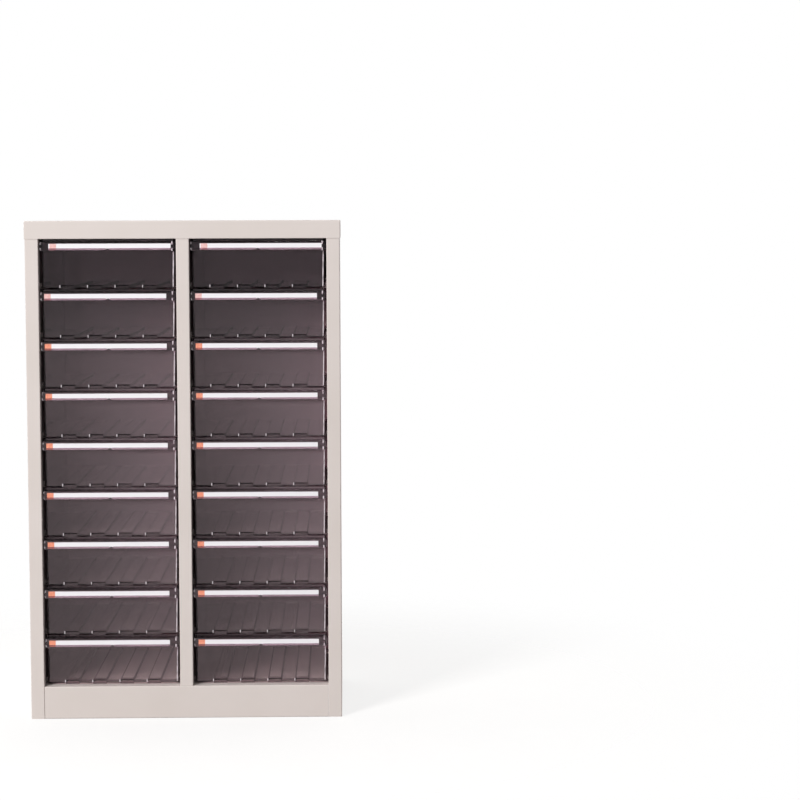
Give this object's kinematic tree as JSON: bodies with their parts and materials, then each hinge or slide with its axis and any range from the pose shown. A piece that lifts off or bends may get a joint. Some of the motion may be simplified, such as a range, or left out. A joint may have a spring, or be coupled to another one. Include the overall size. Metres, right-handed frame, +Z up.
{
  "type": "multi-drawer cabinet",
  "caption": "Free-standing folded-steel cabinet with two columns of clear smoke plastic paper trays that slide out, each with a label pull bar.",
  "frame": {"origin": "bottom centre of the cabinet, on the floor", "axes": "+X to the right seen from the front, +Y from the front to the back, +Z up"},
  "size_m": [0.552, 0.34, 0.88],
  "materials": {
    "powder_coated_steel": "fine matt powder coat, warm pale grey",
    "rivet_aluminium": "satin",
    "smoke_plastic": "glossy, see-through smoke grey",
    "dark_smoke_plastic": "glossy, see-through darker smoke grey"
  },
  "bodies": {
    "cabinet": {"left_side_panel": "powder_coated_steel", "right_side_panel": "powder_coated_steel", "top_cap": "powder_coated_steel", "base_pan": "powder_coated_steel", "back_panel": "powder_coated_steel", "back_rivets": "rivet_aluminium", "centre_stile": "powder_coated_steel", "runner_panel_left_outer": "powder_coated_steel", "runner_panel_left_inner": "powder_coated_steel", "runner_panel_right_outer": "powder_coated_steel", "runner_panel_right_inner": "powder_coated_steel", "rails_left_outer": "powder_coated_steel", "rails_left_inner": "powder_coated_steel", "rails_right_outer": "powder_coated_steel", "rails_right_inner": "powder_coated_steel"},
    "drawer_left_1": {"tray_left_1": "smoke_plastic", "pull_left_1": "dark_smoke_plastic"},
    "drawer_left_2": {"tray_left_2": "smoke_plastic", "pull_left_2": "dark_smoke_plastic"},
    "drawer_left_3": {"tray_left_3": "smoke_plastic", "pull_left_3": "dark_smoke_plastic"},
    "drawer_left_4": {"tray_left_4": "smoke_plastic", "pull_left_4": "dark_smoke_plastic"},
    "drawer_left_5": {"tray_left_5": "smoke_plastic", "pull_left_5": "dark_smoke_plastic"},
    "drawer_left_6": {"tray_left_6": "smoke_plastic", "pull_left_6": "dark_smoke_plastic"},
    "drawer_left_7": {"tray_left_7": "smoke_plastic", "pull_left_7": "dark_smoke_plastic"},
    "drawer_left_8": {"tray_left_8": "smoke_plastic", "pull_left_8": "dark_smoke_plastic"},
    "drawer_left_9": {"tray_left_9": "smoke_plastic", "pull_left_9": "dark_smoke_plastic"},
    "drawer_right_1": {"tray_right_1": "smoke_plastic", "pull_right_1": "dark_smoke_plastic"},
    "drawer_right_2": {"tray_right_2": "smoke_plastic", "pull_right_2": "dark_smoke_plastic"},
    "drawer_right_3": {"tray_right_3": "smoke_plastic", "pull_right_3": "dark_smoke_plastic"},
    "drawer_right_4": {"tray_right_4": "smoke_plastic", "pull_right_4": "dark_smoke_plastic"},
    "drawer_right_5": {"tray_right_5": "smoke_plastic", "pull_right_5": "dark_smoke_plastic"},
    "drawer_right_6": {"tray_right_6": "smoke_plastic", "pull_right_6": "dark_smoke_plastic"},
    "drawer_right_7": {"tray_right_7": "smoke_plastic", "pull_right_7": "dark_smoke_plastic"},
    "drawer_right_8": {"tray_right_8": "smoke_plastic", "pull_right_8": "dark_smoke_plastic"},
    "drawer_right_9": {"tray_right_9": "smoke_plastic", "pull_right_9": "dark_smoke_plastic"}
  },
  "joints": [
    {"name": "drawer_left_1_slide", "type": "slide", "parent": "cabinet", "child": "drawer_left_1", "axis": [0, -1, 0], "range_m": [0, 0.24]},
    {"name": "drawer_left_2_slide", "type": "slide", "parent": "cabinet", "child": "drawer_left_2", "axis": [0, -1, 0], "range_m": [0, 0.24]},
    {"name": "drawer_left_3_slide", "type": "slide", "parent": "cabinet", "child": "drawer_left_3", "axis": [0, -1, 0], "range_m": [0, 0.24]},
    {"name": "drawer_left_4_slide", "type": "slide", "parent": "cabinet", "child": "drawer_left_4", "axis": [0, -1, 0], "range_m": [0, 0.24]},
    {"name": "drawer_left_5_slide", "type": "slide", "parent": "cabinet", "child": "drawer_left_5", "axis": [0, -1, 0], "range_m": [0, 0.24]},
    {"name": "drawer_left_6_slide", "type": "slide", "parent": "cabinet", "child": "drawer_left_6", "axis": [0, -1, 0], "range_m": [0, 0.24]},
    {"name": "drawer_left_7_slide", "type": "slide", "parent": "cabinet", "child": "drawer_left_7", "axis": [0, -1, 0], "range_m": [0, 0.24]},
    {"name": "drawer_left_8_slide", "type": "slide", "parent": "cabinet", "child": "drawer_left_8", "axis": [0, -1, 0], "range_m": [0, 0.24]},
    {"name": "drawer_left_9_slide", "type": "slide", "parent": "cabinet", "child": "drawer_left_9", "axis": [0, -1, 0], "range_m": [0, 0.24]},
    {"name": "drawer_right_1_slide", "type": "slide", "parent": "cabinet", "child": "drawer_right_1", "axis": [0, -1, 0], "range_m": [0, 0.24]},
    {"name": "drawer_right_2_slide", "type": "slide", "parent": "cabinet", "child": "drawer_right_2", "axis": [0, -1, 0], "range_m": [0, 0.24]},
    {"name": "drawer_right_3_slide", "type": "slide", "parent": "cabinet", "child": "drawer_right_3", "axis": [0, -1, 0], "range_m": [0, 0.24]},
    {"name": "drawer_right_4_slide", "type": "slide", "parent": "cabinet", "child": "drawer_right_4", "axis": [0, -1, 0], "range_m": [0, 0.24]},
    {"name": "drawer_right_5_slide", "type": "slide", "parent": "cabinet", "child": "drawer_right_5", "axis": [0, -1, 0], "range_m": [0, 0.24]},
    {"name": "drawer_right_6_slide", "type": "slide", "parent": "cabinet", "child": "drawer_right_6", "axis": [0, -1, 0], "range_m": [0, 0.24]},
    {"name": "drawer_right_7_slide", "type": "slide", "parent": "cabinet", "child": "drawer_right_7", "axis": [0, -1, 0], "range_m": [0, 0.24]},
    {"name": "drawer_right_8_slide", "type": "slide", "parent": "cabinet", "child": "drawer_right_8", "axis": [0, -1, 0], "range_m": [0, 0.24]},
    {"name": "drawer_right_9_slide", "type": "slide", "parent": "cabinet", "child": "drawer_right_9", "axis": [0, -1, 0], "range_m": [0, 0.24]}
  ]
}
